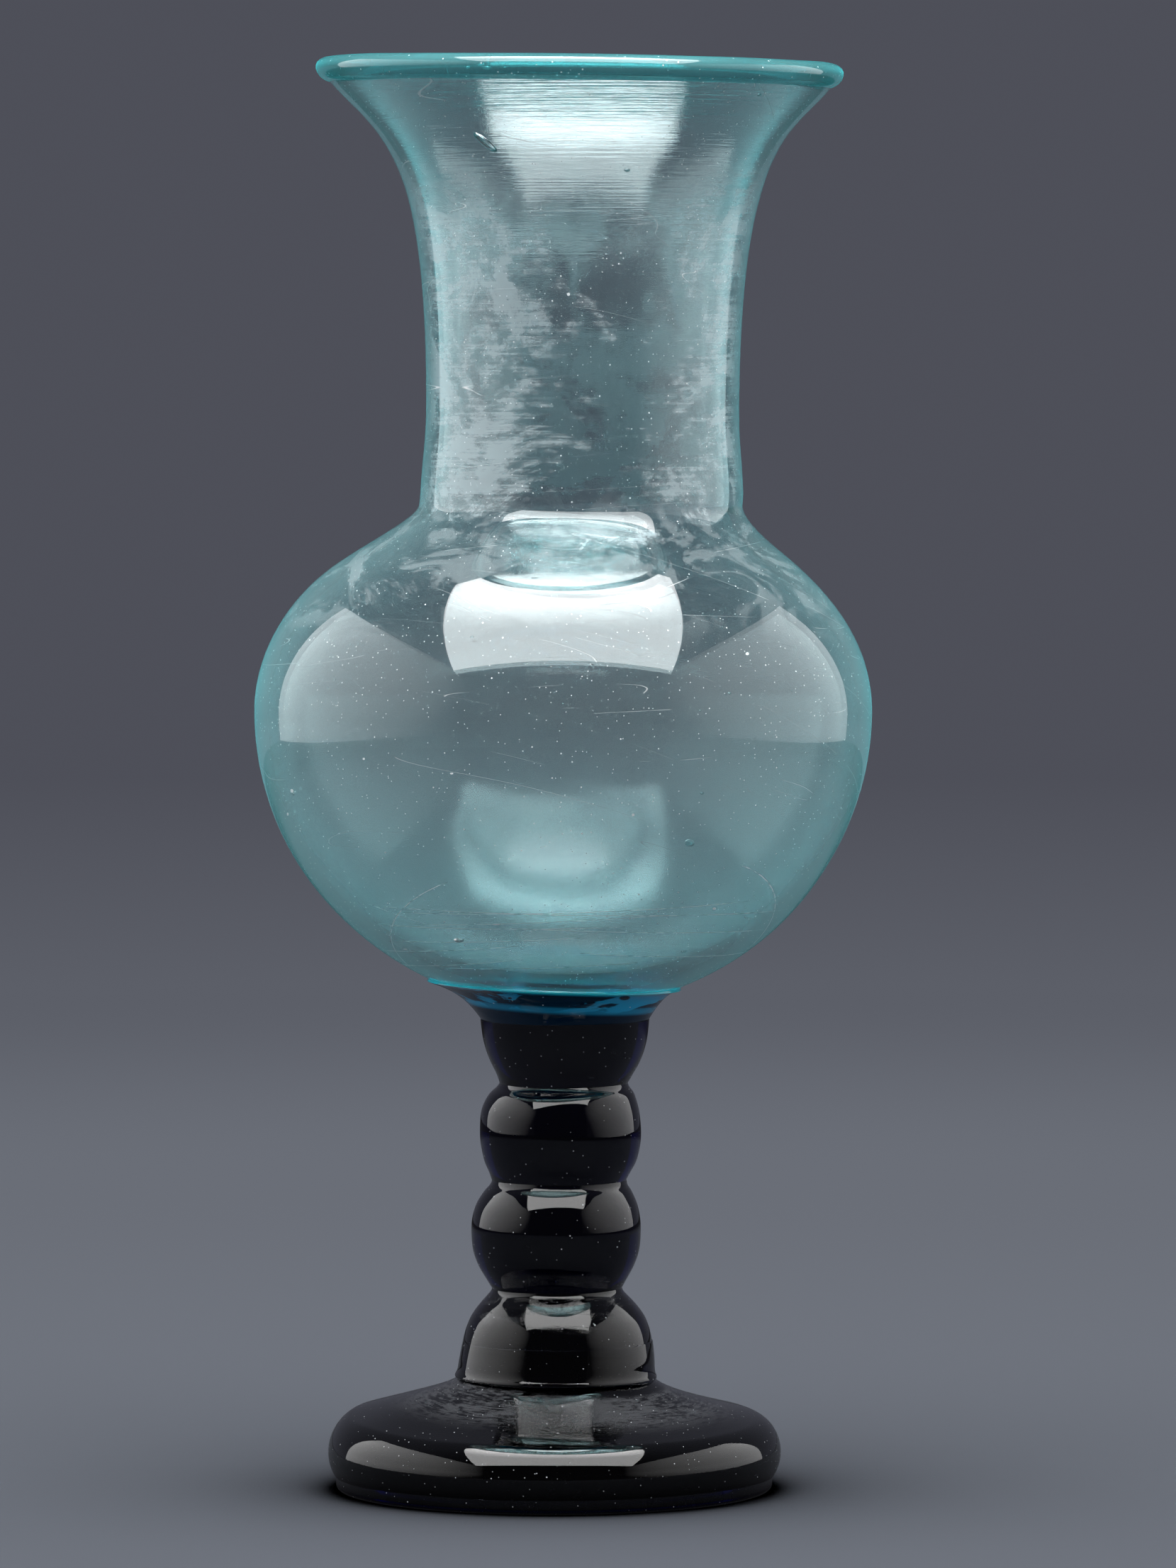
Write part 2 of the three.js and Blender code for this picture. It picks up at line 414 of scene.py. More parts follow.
def add_node(tree, kind, inputs=None, **settings):
    """Adds a shader node to a tree, sets it, and gives its inputs a value or a link."""
    made = tree.nodes.new("ShaderNode" + kind)
    for key, value in settings.items():
        setattr(made, key, value)
    for key, value in (inputs or {}).items():
        if isinstance(value, bpy.types.NodeSocket):
            tree.links.new(value, made.inputs[key])
        else:
            made.inputs[key].default_value = value
    return made


# Sheen that isn't there, as its weight, roughness and tint
NO_SHEEN = (0, 0.5, (1, 1, 1, 1))


class Nodes:
    """A material's node tree, and short ways to add to it."""

    def __init__(self, name):
        self.material = bpy.data.materials.new(name)
        self.material.use_nodes = True
        self.tree = self.material.node_tree
        self.tree.nodes.clear()

    def add(self, kind, inputs=None, **settings):
        """Adds a shader node to this tree."""
        return add_node(self.tree, kind, inputs, **settings)

    def place(self):
        """Where a point is on the piece."""
        return self.add("TexCoord").outputs["Object"]

    def maths(self, operation, first, second=0.5, third=0.5):
        """One sum on numbers or links."""
        return self.add("Math", {0: first, 1: second, 2: third}, operation=operation).outputs[0]

    def between(self, value, low, high, bottom=0.0, top=1.0):
        """Rises smoothly from bottom to top as the value goes from low to high."""
        inputs = {"Value": value, "From Min": low, "From Max": high, "To Min": bottom, "To Max": top}
        return self.add("MapRange", inputs, interpolation_type="SMOOTHSTEP").outputs["Result"]

    def zone(self, value, start, full, thinning, end):
        """Nil up to start, one from full to thinning, and nil again from end on."""
        rising = self.between(value, start, full)
        falling = self.between(value, end, thinning)
        return self.maths("MULTIPLY", rising, falling)

    def noise(self, place, scale, stretch=(1, 1, 1), shift=(0, 0, 0), **inputs):
        """Clouds on a place that is stretched first."""
        moved = self.add("Mapping", {"Vector": place, "Location": shift, "Scale": stretch})
        cloud = self.add("TexNoise", {"Vector": moved.outputs[0], "Scale": scale, **inputs})
        return cloud.outputs["Fac"]

    def blend(self, share, first, second):
        """A colour between two, by a share."""
        inputs = {"Factor": share, 6: first, 7: second}
        return self.add("Mix", inputs, data_type="RGBA").outputs[2]

    def specks(self, place, scale, size, share, shift=(0, 0, 0)):
        """Small spots: one in some of the cells of a grid."""
        moved = self.add("Mapping", {"Vector": place, "Location": shift}).outputs[0]
        cells = self.add("TexVoronoi", {"Vector": moved, "Scale": scale}, feature="F1")
        spot = self.between(cells.outputs["Distance"], size, size * 0.7)
        lot = self.add("SeparateColor", {"Color": cells.outputs["Color"]}).outputs[0]
        return self.maths("MULTIPLY", spot, self.between(lot, 1 - share, 1 - share + 0.02))

    def hairlines(self, place, turn, shift, width):
        """Long fine scratches: where slow clouds, drawn out level round the glass, cross a value."""
        turning = {"Vector": place, "Rotation": turn, "Location": shift}
        turned_place = self.add("Mapping", turning).outputs[0]
        slow = self.noise(turned_place, 1, (9, 9, 130), Detail=1, Roughness=0.4)
        away = self.maths("ABSOLUTE", self.maths("SUBTRACT", slow, 0.5))
        line = self.between(away, width, width * 0.3)
        broken = self.between(self.noise(turned_place, 55, (1, 1, 3), shift=(0.4, 0, 0)), 0.5, 0.58)
        return self.maths("MULTIPLY", line, broken)

    def spots(self, apart, place, rows):
        """Round marks at the front, each as (across, level, half length, half height), in mm."""
        marks = 0.0
        for across, height, half, rise in rows:
            moved = self.add(
                "Mapping",
                {
                    "Vector": place,
                    "Location": (-across / half, 0, -height / rise),
                    "Scale": (1 / (half * MM), 0, 1 / (rise * MM)),
                },
            )
            reach = self.add("VectorMath", {0: moved.outputs[0]}, operation="LENGTH").outputs["Value"]
            marks = self.maths("MAXIMUM", marks, self.between(reach, 1, 0.6))
        return self.maths("MULTIPLY", marks, self.between(apart["Y"], -0.004, -0.006))

    def scratch(self, apart, level, lean_x, lean_y, start, end, width):
        """A scratch round the front: where a leaning plane cuts the glass between two places, in mm."""
        plane = self.maths("MULTIPLY_ADD", apart["X"], -lean_x, apart["Z"])
        plane = self.maths("MULTIPLY_ADD", apart["Y"], -lean_y, plane)
        away = self.maths("ABSOLUTE", self.maths("SUBTRACT", plane, level * MM))
        line = self.between(away, width * MM, width * 0.3 * MM)
        middle = (start + end) / 2
        reach = (end - start) / 2
        aside = self.maths("ABSOLUTE", self.maths("SUBTRACT", apart["X"], middle * MM))
        line = self.maths("MULTIPLY", line, self.between(aside, reach * MM, reach * 0.8 * MM))
        return self.maths("MULTIPLY", line, self.between(apart["Y"], 0, -0.002))

    def weighed(self, first, *others):
        """The sum of links, each of which comes with its weight."""
        link, weight = first
        whole = self.maths("MULTIPLY", link, weight)
        for link, weight in others:
            whole = self.maths("MULTIPLY_ADD", link, weight, whole)
        return whole

    def total(self, *parts):
        """The sum of shares of films, each a link and its weight, kept below one."""
        film = 0.0
        for part, weight in parts:
            film = self.maths("ADD", film, self.maths("MULTIPLY", part, weight))
        return self.maths("MINIMUM", film, 0.95)

    def bump(self, height, strength, distance):
        """Relief that a height of one raises by a distance in mm."""
        inputs = {"Height": height, "Strength": strength, "Distance": distance * MM}
        return self.add("Bump", inputs).outputs[0]

    def glass(self, clear, film_colour, film, roughness, normal, absorbed, density, coat=0, sheen=NO_SHEEN):
        """Glass that takes off colour by its depth, under a film that lets less through. Sheen is a weight, a
        roughness and a tint."""
        principled = self.add(
            "BsdfPrincipled",
            {
                "Base Color": self.blend(film, clear, film_colour),
                "Transmission Weight": self.between(film, 0, 1, 1, 0),
                "Roughness": roughness,
                "IOR": 1.5,
                "Normal": normal,
                "Coat Weight": coat,
                "Sheen Weight": sheen[0],
                "Sheen Roughness": sheen[1],
                "Sheen Tint": sheen[2],
            },
        )
        inside = self.add("VolumeAbsorption", {"Color": absorbed, "Density": density})
        output = self.add("OutputMaterial")
        self.tree.links.new(principled.outputs[0], output.inputs["Surface"])
        self.tree.links.new(inside.outputs[0], output.inputs["Volume"])
        return self.material


# Levels at which a film or smear starts, is full, thins out and ends, in metres
NECK_FILM = (0.168, 0.176, 0.222, 0.240)
SHOULDER_STAINS = (0.146, 0.160, 0.170, 0.178)
KNOP_SMEARS = (0.028, 0.030, 0.034, 0.0352)

# The same for the foot's rubbed slope, in metres from the axis
RUBBED_SLOPE = (0.0172, 0.0185, 0.024, 0.034)

# Levels on the bowl from which and to which each kind of wear, and the painted glow low on the belly, change,
# in metres
BLOOM_FADE = (0.166, 0.130)
# The next two: where the painted glow low on the belly sets in above the bottom, and where it fades out
# upwards
GLOW_BOTTOM_FADE = (0.089, 0.102)
LOW_GLOW_FADE = (0.145, 0.100)
HAIRLINE_FADE = (0.108, 0.125)
SOIL_FADE = (0.150, 0.118)
WIPED_FADE = (0.172, 0.222)

# How strongly the glass takes off colour: in the bowl, in its lip, and in seat, stem and foot
BOWL_DENSITY = 36
LIP_DENSITY = 260
DEEP_DENSITY = 700


def neck_film(nodes, apart, place):
    """The mineral film in the neck: wispy and mottled, brushed level, and thin at the front."""
    wisps = nodes.noise(place, 42, (1, 1, 1.2), Detail=13, Roughness=0.72, Distortion=0.8)
    mottled = nodes.noise(place, 260, (1, 1, 1.3), Detail=6, Roughness=0.65)
    brushed = nodes.noise(place, 55, (1, 1, 26), Detail=8, Roughness=0.72)
    aside = nodes.maths("ABSOLUTE", nodes.maths("SUBTRACT", apart["X"], 0.007))
    front = nodes.between(aside, 0.021, 0.004)
    front = nodes.maths("MULTIPLY", front, nodes.between(apart["Y"], -0.006, -0.02))
    cover = nodes.weighed((wisps, 0.56), (mottled, 0.20), (brushed, 0.24), (front, -0.08))
    ragged = nodes.maths("MULTIPLY_ADD", nodes.maths("SUBTRACT", wisps, 0.5), 0.06, apart["Z"])
    zone = nodes.zone(ragged, *NECK_FILM)
    return nodes.maths("MULTIPLY", nodes.between(cover, 0.435, 0.525), zone)


def shoulder_stains(nodes, place, level):
    """Stains that dried in swirls on the shoulder."""
    swirl = nodes.noise(place, 58, (1, 1, 1.6), Detail=10, Roughness=0.68, Distortion=1.8)
    patches = nodes.between(swirl, 0.48, 0.58)
    rings = nodes.between(nodes.maths("ABSOLUTE", nodes.maths("SUBTRACT", swirl, 0.44)), 0.008, 0.001)
    zone = nodes.zone(level, *SHOULDER_STAINS)
    stains = nodes.maths("MAXIMUM", patches, nodes.maths("MULTIPLY", rings, 0.5))
    return nodes.maths("MULTIPLY", stains, zone)


# Flecks at the bowl's front, and painted glints where blisters catch the light: (across, level, half length,
# half height), in mm
FLECKS_AND_GLINTS = (
    (-46.7, 123.7, 0.35, 0.42),
    (-47.6, 119.4, 0.2, 0.35),
    (-27.2, 96.1, 0.5, 0.16),
    (-11.4, 101.6, 1.0, 0.14),
    (-33.9, 130.1, 0.25, 0.25),
    (-18.8, 128, 0.35, 0.2),
    (1, 209.2, 0.34, 0.36),
    (31.5, 148, 0.35, 0.3),
    (12, 121, 0.3, 0.3),
    (26, 104, 0.4, 0.3),
)


def bowl_specks_and_glints(nodes, apart, place):
    """Seeds too small to model, drawn as painted white glints, dust, and the flecks and painted glints of
    blisters at the front.
    """
    # Painted glints: the seeds are white specks, standing in for light caught in tiny bubbles
    seeds = nodes.specks(place, 1150, 0.12, 0.55)
    dust = nodes.specks(place, 600, 0.10, 0.25, (0.13, 0.07, 0.02))
    return nodes.maths("MAXIMUM", nodes.maths("MAXIMUM", seeds, dust), nodes.spots(apart, place, FLECKS_AND_GLINTS))


def bowl_hairlines(nodes, place):
    """Two sets of fine scratches, one nearly level and one leaning."""
    level_ones = nodes.hairlines(place, (0.03, 0.05, 0), (0, 0, 0), 0.0012)
    leaning = nodes.hairlines(place, (0.3, -0.25, 0), (0.3, 0, 0), 0.001)
    return nodes.maths("MAXIMUM", level_ones, leaning)


# Scratches low on the belly: (level, lean across, lean to the front, start and end across, width), in mm
SCRATCHES = (
    (87.4, 0.01, -0.528, -34, -19, 0.07),
    (118.5, 0, 0.54, -33, -23, 0.06),
    (104.6, 0.03, 0.02, -30, 33, 0.06),
    (103.4, -0.02, 0, -34, 40, 0.07),
    (102.6, 0.05, 0.01, -26, 20, 0.05),
    (101.7, 0.02, 0.02, -33, 12, 0.06),
    (100.6, -0.04, 0, -10, 36, 0.06),
    (99.8, 0.06, 0.02, -30, 4, 0.05),
    (98.4, 0.1, 0, -32, -4, 0.06),
    (97.6, -0.08, 0.03, 2, 33, 0.06),
    (95.9, 0.12, 0, -30, -6, 0.06),
    (94.6, 0.05, 0.03, -22, 14, 0.05),
    (80, 0.3, -0.62, 30, 46, 0.08),
)


def bowl_scratches(nodes, apart):
    """The long scratches low on the belly."""
    rings = 0.0
    for row in SCRATCHES:
        rings = nodes.maths("MAXIMUM", rings, nodes.scratch(apart, *row))
    return rings


def aqua_glass(colours):
    """The bowl's glass: pale, with a film in the neck, stains on the shoulder, specks and scratches, painted
    glints, and a painted teal glow at its edges and low on the belly.
    """
    nodes = Nodes("blown_aqua")
    place = nodes.place()
    apart = nodes.add("SeparateXYZ", {"Vector": place}).outputs
    level = apart["Z"]
    inside = nodes.add("Attribute", attribute_name="inside").outputs["Fac"]
    haze = neck_film(nodes, apart, place)
    stain = shoulder_stains(nodes, place, level)
    bloom = nodes.between(nodes.noise(place, 24, Detail=5, Roughness=0.6), 0.3, 0.7, 0.7, 1.25)
    bloom = nodes.maths("MULTIPLY", bloom, nodes.between(level, *BLOOM_FADE, 0.45, 1.3))
    # Painted glow: a teal film that thickens at a glancing view, standing in for light coming out at the
    # glass's edges
    edge = nodes.between(nodes.add("LayerWeight", {"Blend": 0.5}).outputs["Facing"], 0.4, 0.9)
    # Painted glow: a bright teal film low on the belly, above its bottom and at its edges
    bottom = nodes.maths("MAXIMUM", nodes.between(level, *GLOW_BOTTOM_FADE), edge)
    low = nodes.maths("MULTIPLY", nodes.between(level, *LOW_GLOW_FADE), bottom)
    outside = nodes.maths("SUBTRACT", 1, inside)
    haze = nodes.maths("MULTIPLY", haze, nodes.between(edge, 0.3, 1, 1, 0.2))
    haze = nodes.maths("MULTIPLY", haze, outside)
    specks = nodes.maths("MULTIPLY", bowl_specks_and_glints(nodes, apart, place), outside)
    lines = bowl_hairlines(nodes, place)
    shown = nodes.maths("MULTIPLY", outside, nodes.between(level, *HAIRLINE_FADE))
    lines = nodes.maths("MULTIPLY", lines, shown)
    rings = bowl_scratches(nodes, apart)
    worn = nodes.noise(place, 300, (1, 1, 4), Detail=3, Roughness=0.6)
    shown = nodes.maths("MULTIPLY", outside, nodes.between(worn, 0.36, 0.5, 0.3, 1))
    rings = nodes.maths("MULTIPLY", rings, shown)
    film = nodes.total(
        (haze, 0.42),
        (stain, 0.20),
        (bloom, 0.10),
        (low, 0.13),
        (edge, 0.22),
        (specks, 0.9),
        (lines, 0.35),
        (rings, 0.6),
    )
    pale = nodes.maths("MINIMUM", nodes.maths("ADD", haze, stain), 1)
    # Tint of the films, brightest cyan where the painted glow is
    bluish = nodes.maths("MAXIMUM", edge, low)
    bluish = nodes.blend(bluish, (0.30, 0.74, 0.82, 1), (0.18, 0.94, 1, 1))
    tint = nodes.blend(pale, bluish, colours.haze)
    # White: scratches and hairlines, with the painted glints of seeds and blisters
    white = nodes.maths("MAXIMUM", specks, nodes.maths("MAXIMUM", rings, lines))
    tint = nodes.blend(white, tint, (0.95, 0.98, 1, 1))
    soiled = nodes.maths("MULTIPLY", inside, nodes.between(level, *SOIL_FADE, 0.01, 0.16))
    roughness = nodes.maths("MAXIMUM", nodes.between(film, 0.33, 1, 0.01, 0.4), soiled)
    brushing = nodes.noise(place, 1, (30, 30, 2600), Detail=3, Roughness=0.6)
    height = nodes.maths("MULTIPLY", brushing, nodes.between(level, *WIPED_FADE))
    height = nodes.maths("SUBTRACT", height, nodes.maths("MULTIPLY", lines, 0.2))
    return nodes.glass(
        (0.96, 0.99, 0.99, 1),
        tint,
        film,
        roughness,
        nodes.bump(height, 0.7, 0.05),
        colours.aqua,
        BOWL_DENSITY,
        coat=0.8,
        sheen=(0.5, 0.42, (0.14, 0.78, 0.84, 1)),
    )


def lip_glass(colours):
    """The same glass in the lip, deeper in colour where it is thick."""
    nodes = Nodes("lip_teal")
    place = nodes.place()
    # Painted glints: seeds too small to model, drawn as white specks that stand in for light caught in tiny
    # bubbles
    seeds = nodes.specks(place, 700, 0.12, 0.7)
    milk = nodes.between(nodes.noise(place, 40, Detail=2), 0.3, 0.7, 0.7, 1)
    film = nodes.total((seeds, 0.9), (milk, 0.30))
    tint = nodes.blend(seeds, (0.02, 0.62, 0.70, 1), (0.9, 0.98, 1, 1))
    roughness = nodes.between(film, 0, 1, 0.01, 0.4)
    wave = nodes.noise(place, 60, Detail=2)
    return nodes.glass(
        (0.45, 0.97, 0.97, 1),
        tint,
        film,
        roughness,
        nodes.bump(wave, 0.2, 0.2),
        colours.aqua,
        LIP_DENSITY,
        coat=1,
        sheen=(0.75, 0.35, (0.05, 0.75, 0.80, 1)),
    )


# Pockets of air under the seat's edge, painted near black as a painted reflection of the dark room: (across,
# level, half length, half height), in mm, at the front
AIR_POCKETS_PAINTED_DARK = (
    (3.3, 86.5, 0.6, 0.45),
    (4.8, 86.7, 1.1, 0.4),
    (10.7, 87.4, 1.2, 0.6),
    (6, 87.6, 0.4, 0.2),
    (-9.2, 87.4, 0.5, 0.25),
)

# How steeply the seat's bands of colour lean across
BAND_LEAN = 0.0458

# Levels and distances from the axis over which one band of the seat's colour goes over to the next, in metres
# Painted glow along the dish's edge: the level and the distance from the axis where it sets in
GLOW_TOP = (0.0879, 0.0884)
GLOW_RIM = (0.0185, 0.0205)
BLUE_ROOT = (0.0854, 0.0842)
# A band of painted light, where the dark streaks are halved
PAINTED_LIT_BAND = (0.0842, 0.0850, 0.0854, 0.0860)
DARK_FLOOR = (0.0205, 0.0175)


def turquoise_glass(colours):
    """The seat's glass: a painted glow along its edge, turquoise with dark streaks under it that are thinned
    in a band of painted light, and deep blue at the root.
    """
    nodes = Nodes("dish_turquoise")
    place = nodes.place()
    apart = nodes.add("SeparateXYZ", {"Vector": place}).outputs
    level = nodes.maths("ADD", apart["Z"], nodes.maths("MULTIPLY", apart["X"], BAND_LEAN))
    streak = nodes.noise(place, 62, (1, 1, 5), Detail=4, Roughness=0.5, Distortion=1.4)
    out = around(nodes, place)[1]
    # Painted glow: a bright cyan edge, standing in for light coming out of the glass there
    top = nodes.between(level, *GLOW_TOP)
    edge = nodes.maths("MULTIPLY", top, nodes.between(out, *GLOW_RIM))
    root = nodes.between(level, *BLUE_ROOT)
    # Painted light: the dark streaks are halved in this band
    painted_lit_band = nodes.zone(level, *PAINTED_LIT_BAND)
    streaks = nodes.between(streak, 0.445, 0.50)
    streaks = nodes.maths("MULTIPLY", streaks, nodes.maths("MULTIPLY_ADD", painted_lit_band, -0.5, 1))
    dark = nodes.maths("MAXIMUM", root, nodes.maths("MULTIPLY", streaks, 0.97))
    dish_floor = nodes.maths("MULTIPLY", top, nodes.between(out, *DARK_FLOOR, 0, 0.8))
    dark = nodes.maths("MAXIMUM", dark, dish_floor)
    dark = nodes.maths("MULTIPLY", dark, nodes.between(edge, 0, 1, 1, 0))
    # Painted reflection: the air pockets are drawn near black, as they mirror the dark room
    dark = nodes.maths("MAXIMUM", dark, nodes.spots(apart, place, AIR_POCKETS_PAINTED_DARK))
    # The turquoise, brighter cyan along the painted glow of the edge
    tint = nodes.blend(edge, (0, 0.42, 0.80, 1), (0, 0.60, 0.72, 1))
    tint = nodes.blend(dark, tint, (0, 0.005, 0.025, 1))
    dust = nodes.specks(place, 600, 0.09, 0.35)
    # A thick turquoise film over the seat: the glass's own colour, and painted glow of light through it
    body = nodes.between(dark, 0, 1, 0.8, 0.98)
    film = nodes.maths("MAXIMUM", body, dust)
    colour = nodes.blend(dust, tint, (0.7, 0.8, 0.85, 1))
    relief = nodes.bump(streak, 0.3, 0.4)
    clear = (0.10, 0.62, 0.85, 1)
    return nodes.glass(clear, colour, film, 0.03, relief, colours.turquoise, DEEP_DENSITY)


def cobalt_glass(colours, name, worn, wear):
    """The nearly black glass of stem and foot, with dust and a worn film. Wear is the film's weight."""
    nodes = Nodes(name)
    place = nodes.place()
    dust = nodes.specks(place, 500, 0.07, 0.45)
    dust = nodes.maths("MAXIMUM", dust, nodes.specks(place, 1100, 0.10, 0.3, (0.2, 0.1, 0)))
    rubbed = worn(nodes, place)
    film = nodes.total((rubbed, wear), (dust, 0.7))
    tint = nodes.blend(dust, (0.42, 0.48, 0.56, 1), (0.9, 0.94, 1, 1))
    roughness = nodes.between(film, 0, 0.5, 0.015, 0.4)
    wave = nodes.noise(place, 50, Detail=1)
    relief = nodes.bump(nodes.maths("MULTIPLY_ADD", rubbed, 0.35, wave), 0.1, 0.3)
    clear = (0.9, 0.93, 1, 1)
    return nodes.glass(clear, tint, film, roughness, relief, colours.cobalt, DEEP_DENSITY, coat=0.45)


def around(nodes, place):
    """A place told as a point of the circle round the axis, and how far out it is in place of its level."""
    apart = nodes.add("SeparateXYZ", {"Vector": place}).outputs
    flat = nodes.add("CombineXYZ", {"X": apart["X"], "Y": apart["Y"]}).outputs[0]
    out = nodes.add("VectorMath", {0: flat}, operation="LENGTH").outputs["Value"]
    onto = nodes.add("VectorMath", {0: flat}, operation="NORMALIZE").outputs[0]
    unit = nodes.add("SeparateXYZ", {"Vector": onto}).outputs
    return nodes.add("CombineXYZ", {"X": unit["X"], "Y": unit["Y"], "Z": out}).outputs[0], out


def stem_wear(nodes, place):
    """Smears on the shoulder of the lowest knop."""
    level = nodes.add("SeparateXYZ", {"Vector": place}).outputs["Z"]
    smear = nodes.noise(place, 110, (1, 1, 4), Detail=7, Roughness=0.7, Distortion=0.5)
    zone = nodes.zone(level, *KNOP_SMEARS)
    return nodes.maths("MULTIPLY", nodes.between(smear, 0.5, 0.62), zone)


def foot_wear(nodes, place):
    """The rubbed slope of the foot: brushed round the axis, and strongest near the collar."""
    about, out = around(nodes, place)
    brushed = nodes.noise(about, 1, (7, 7, 2200), Detail=6, Roughness=0.7, Distortion=0.2)
    mottled = nodes.noise(place, 420, Detail=8, Roughness=0.75)
    broad = nodes.noise(place, 60, Detail=2)
    cover = nodes.weighed((brushed, 0.45), (mottled, 0.3), (broad, 0.25))
    zone = nodes.zone(out, *RUBBED_SLOPE)
    return nodes.maths("MULTIPLY", nodes.between(cover, 0.43, 0.54), zone)


# Stage

# How brightly the lamps light the floor, where 1 is plain
FLOOR_LIGHT = 1.88

# How far the floor's colour is blended into the backdrop's at its far edge
FAR_BLEND = 0.55

# The floor's radius, the ring that is inset in it, and how close to the foot its painted shade reaches, in
# metres
FLOOR_REACH = 1.2
FLOOR_RING = 0.4
CONTACT_REACH = 0.06

# Distances from the vase over which the floor leaves the lamps' light, and takes on the backdrop's colour
LAMPLIT = (0.2, 0.7)
BLENDED = (0.6, 1.2)

# The part upwards of a direction over which the floor goes over to the backdrop, and the part to the back
# over which the backdrop goes over to the unlit room
HORIZON = (-0.0715, -0.05)
ROOM_IN_FRONT = (0.2, -0.5)

# Softboxes: place, turn in degrees, and size
LEFT_BOX = ((-0.9, -0.2, 0.48), (0, -90, 0), (0.95, 1.9))
RIGHT_BOX = ((0.9, -0.2, 0.48), (0, 90, 0), (0.95, 1.9))
TOP_BOX = ((0, -0.14, 1.309), (43.3, 0, 0), (1.45, 1.6))

# How bright the right softbox is, beside the left one
RIGHT_SHARE = 0.85

# How a softbox's light is spread: its brightest spot, how much each direction across it counts, how far the
# light reaches from the spot, and how strong it is out there and at the spot
LEFT_SPREAD = ((0.7, 1, 0), (0.8, 1, 0), 1, 0.02, 2.1)
RIGHT_SPREAD = ((0.3, 1, 0), (0.8, 1, 0), 1, 0.02, 2.1)
TOP_SPREAD = ((0.5, 0.82, 0), (1, 1, 0), 0.58, 1.15, 4.3)

# The photograph's viewpoint and what it looks at, in metres, and its lens and sensor, in mm
EYE = Vector((0.00434, -1.68, 0.209))
AIM = Vector((0.00434, 0, 0.1237))
LENS = 220.9
SENSOR = 36


def floor(stage):
    """A disc that takes the vase's shadow near it, with painted shade close to the foot, and goes over to the
    backdrop's colour further out.
    """
    bpy.ops.object.select_all(action="DESELECT")
    bpy.ops.mesh.primitive_circle_add(
        vertices=96,
        radius=FLOOR_REACH,
        fill_type="NGON",
        enter_editmode=True,
    )
    bpy.ops.mesh.inset(thickness=FLOOR_RING)
    bpy.ops.object.mode_set(mode="OBJECT")
    disc = bpy.context.object
    disc.name = "floor"
    disc.data.materials.append(floor_paint(stage))


def floor_paint(stage):
    """The floor's paint, with painted shade where the foot shuts it in. Gloss sees the unlit room in its
    place.
    """
    nodes = Nodes("floor")
    place = nodes.place()
    away = nodes.add("VectorMath", {0: place}, operation="LENGTH").outputs["Value"]
    open_sky = nodes.add("AmbientOcclusion", {"Distance": CONTACT_REACH}, samples=8).outputs["AO"]
    opening = {"Value": open_sky, "From Min": 0.5, "From Max": 0.97}
    # Painted shade: the floor's colour is darkened where the foot shuts out the light from round about
    contact_shade = nodes.add("MapRange", opening).outputs["Result"]
    plain_floor = [part / FLOOR_LIGHT for part in stage.floor[:3]] + [1]
    lit = nodes.add("BsdfDiffuse", {"Color": nodes.blend(contact_shade, (0, 0, 0, 1), plain_floor)})
    far = nodes.between(away, *BLENDED, 0, FAR_BLEND)
    path = nodes.add("LightPath").outputs
    mirrored = nodes.maths("SUBTRACT", path["Is Glossy Ray"], path["Is Transmission Ray"])
    mirrored = nodes.between(mirrored, 0, 1)
    colour = nodes.blend(mirrored, nodes.blend(far, stage.floor, stage.backdrop), stage.room)
    plain = nodes.add("Emission", {"Color": colour})
    share = nodes.maths("MAXIMUM", nodes.between(away, *LAMPLIT), nodes.maths("MULTIPLY", mirrored, 0.6))
    mixed = nodes.add("MixShader", {0: share, 1: lit.outputs[0], 2: plain.outputs[0]})
    output = nodes.add("OutputMaterial")
    nodes.tree.links.new(mixed.outputs[0], output.inputs["Surface"])
    return nodes.material


def world(scene, stage):
    """Even light from all round. The camera, gloss and glass see the backdrop instead, and gloss sees the
    unlit room in front as well."""
    made = bpy.data.worlds.new("studio")
    made.use_nodes = True
    scene.world = made
    tree = made.node_tree
    tree.nodes.clear()

    def add(kind, inputs=None, **settings):
        return add_node(tree, kind, inputs, **settings)

    path = add("LightPath").outputs
    seen = add("Math", {0: path["Is Camera Ray"], 1: path["Is Glossy Ray"]}, operation="MAXIMUM").outputs[0]
    seen = add("Math", {0: seen, 1: path["Is Transmission Ray"]}, operation="MAXIMUM").outputs[0]
    apart = add("SeparateXYZ", {"Vector": add("TexCoord").outputs["Generated"]}).outputs
    front = {"Value": apart["Y"], "From Min": ROOM_IN_FRONT[0], "From Max": ROOM_IN_FRONT[1]}
    in_front = add("MapRange", front).outputs["Result"]
    mirrored = add("Math", {0: path["Is Glossy Ray"], 1: path["Is Transmission Ray"]}, operation="SUBTRACT")
    mirrored.use_clamp = True
    room = add("Math", {0: in_front, 1: mirrored.outputs[0]}, operation="MULTIPLY").outputs[0]
    rise = {"Value": apart["Z"], "From Min": HORIZON[0], "From Max": HORIZON[1], "To Min": FAR_BLEND}
    high = add("MapRange", rise).outputs["Result"]
    sweep = add("Mix", {"Factor": high, 6: stage.floor, 7: stage.backdrop}, data_type="RGBA").outputs[2]
    colour = add("Mix", {"Factor": room, 6: sweep, 7: stage.room}, data_type="RGBA").outputs[2]
    fill = add("Background", {"Color": (1, 1, 1, 1), "Strength": stage.fill}).outputs[0]
    backdrop = add("Background", {"Color": colour}).outputs[0]
    mixed = add("MixShader", {0: seen, 1: fill, 2: backdrop}).outputs[0]
    add("OutputWorld", {"Surface": mixed})


